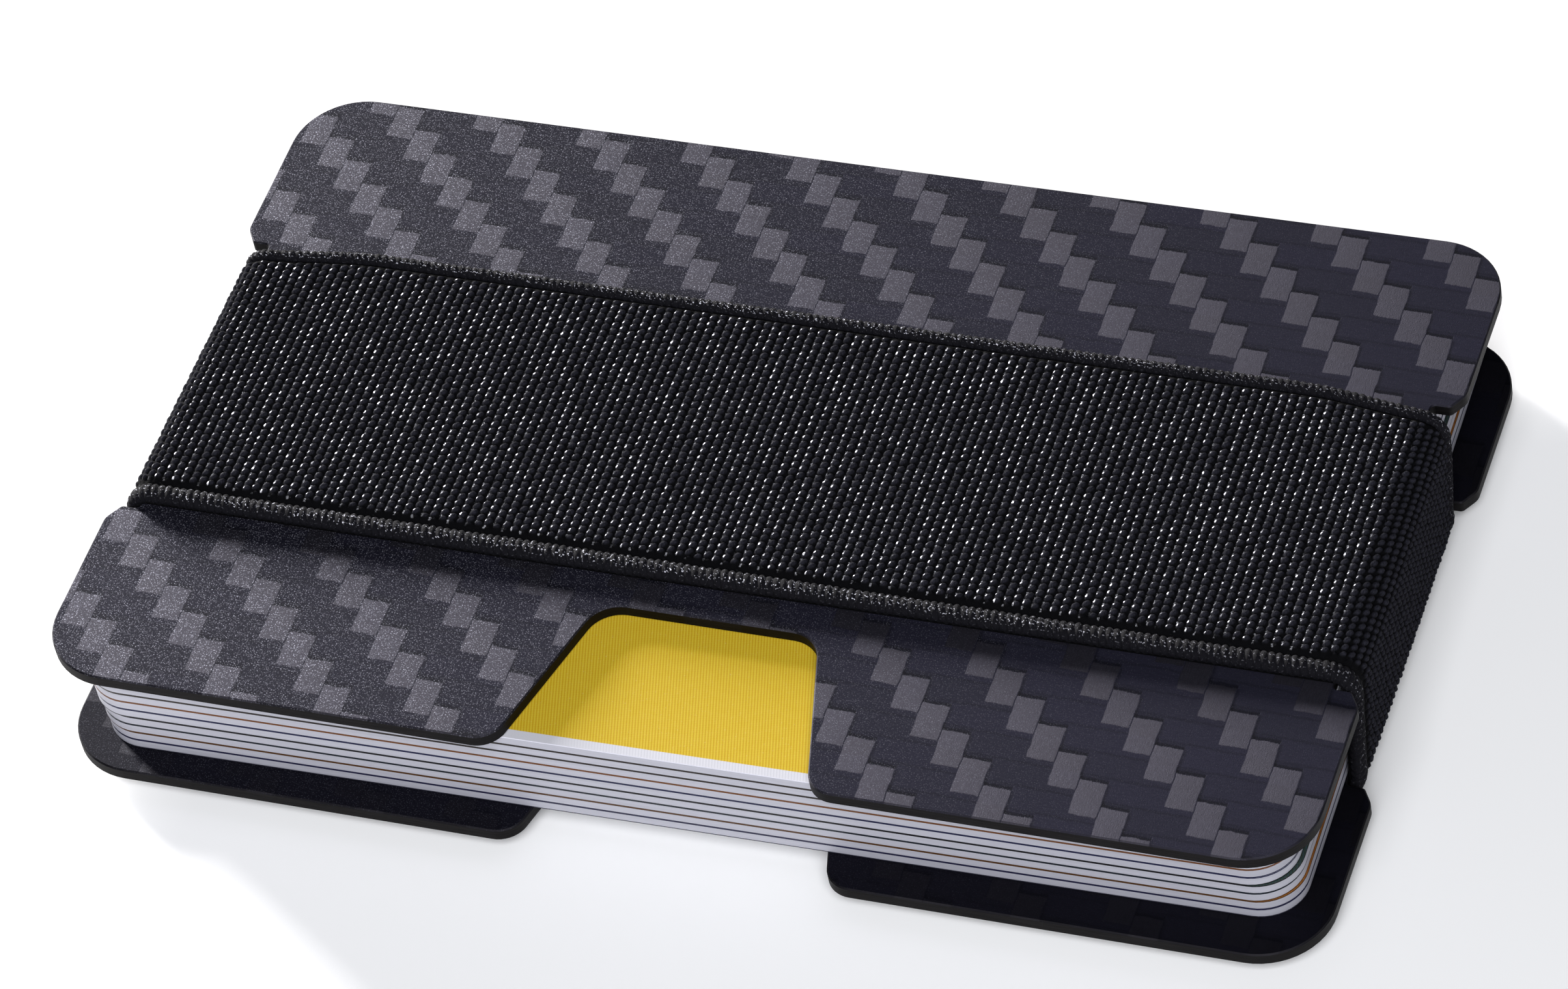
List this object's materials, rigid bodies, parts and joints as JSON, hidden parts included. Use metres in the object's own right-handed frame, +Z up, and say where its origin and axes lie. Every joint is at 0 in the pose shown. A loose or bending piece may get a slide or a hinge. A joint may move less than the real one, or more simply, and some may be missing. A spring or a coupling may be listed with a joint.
{
  "type": "minimalist wallet",
  "caption": "flat card wallet of stiff plates with thumb notches, clamping a pack of bank cards under a wide elastic band seated in recesses in the short ends",
  "frame": {"origin": "centre of the bounding box in X and Y, at the underside of the band that the wallet lies on", "axes": "+X along the long edges of the plates, -Y towards the edge with the thumb notches, +Z up through the stack from the bottom plate to the top plate"},
  "size_m": [0.0904, 0.0574, 0.0116],
  "materials": {
    "carbon": "twill carbon fibre laminate under a thin satin clear coat",
    "elastic": "ribbed woven elastic, black, slightly glossy yarn",
    "thread": "twisted polyester sewing thread, black",
    "card_core": "white laminated plastic, satin cut edge",
    "print_grey": "printed film, satin laminate",
    "print_night": "printed film, satin laminate",
    "print_brown": "printed film, satin laminate",
    "print_teal": "printed film, satin laminate",
    "print_black": "printed film, satin laminate",
    "print_navy": "printed film, satin laminate",
    "print_copper": "printed film, satin laminate",
    "print_umber": "printed film, satin laminate",
    "print_yellow": "printed film, satin laminate"
  },
  "bodies": {
    "base": {"bottom_plate": "carbon", "elastic_band": "elastic", "seam_stitches": "thread"},
    "top": {"top_plate": "carbon"},
    "card_1": {"card_1_core": "card_core", "card_1_print_films": "print_grey"},
    "card_2": {"card_2_core": "card_core", "card_2_print_films": "print_night"},
    "card_3": {"card_3_core": "card_core", "card_3_print_films": "print_brown"},
    "card_4": {"card_4_core": "card_core", "card_4_print_films": "print_teal"},
    "card_5": {"card_5_core": "card_core", "card_5_print_films": "print_black"},
    "card_6": {"card_6_core": "card_core", "card_6_print_films": "print_navy"},
    "card_7": {"card_7_core": "card_core", "card_7_print_films": "print_copper"},
    "card_8": {"card_8_core": "card_core", "card_8_print_films": "print_umber"},
    "card_9": {"card_9_core": "card_core", "card_9_print_films": "print_yellow"}
  },
  "joints": [
    {"name": "plate_spread", "type": "slide", "parent": "base", "child": "top", "axis": [0, 0, 1], "range_m": [0, 0.0035], "stiffness_N_per_m": 1500, "springref_m": -0.004, "deforming": ["elastic_band"]},
    {"name": "card_1_slide", "type": "slide", "parent": "base", "child": "card_1", "axis": [0, -1, 0], "range_m": [-0.008, 0.034]},
    {"name": "card_2_slide", "type": "slide", "parent": "base", "child": "card_2", "axis": [0, -1, 0], "range_m": [-0.008, 0.034]},
    {"name": "card_3_slide", "type": "slide", "parent": "base", "child": "card_3", "axis": [0, -1, 0], "range_m": [-0.008, 0.034]},
    {"name": "card_4_slide", "type": "slide", "parent": "base", "child": "card_4", "axis": [0, -1, 0], "range_m": [-0.008, 0.034]},
    {"name": "card_5_slide", "type": "slide", "parent": "base", "child": "card_5", "axis": [0, -1, 0], "range_m": [-0.008, 0.034]},
    {"name": "card_6_slide", "type": "slide", "parent": "base", "child": "card_6", "axis": [0, -1, 0], "range_m": [-0.008, 0.034]},
    {"name": "card_7_slide", "type": "slide", "parent": "base", "child": "card_7", "axis": [0, -1, 0], "range_m": [-0.008, 0.034]},
    {"name": "card_8_slide", "type": "slide", "parent": "base", "child": "card_8", "axis": [0, -1, 0], "range_m": [-0.008, 0.034]},
    {"name": "card_9_slide", "type": "slide", "parent": "base", "child": "card_9", "axis": [0, -1, 0], "range_m": [-0.008, 0.034]}
  ]
}
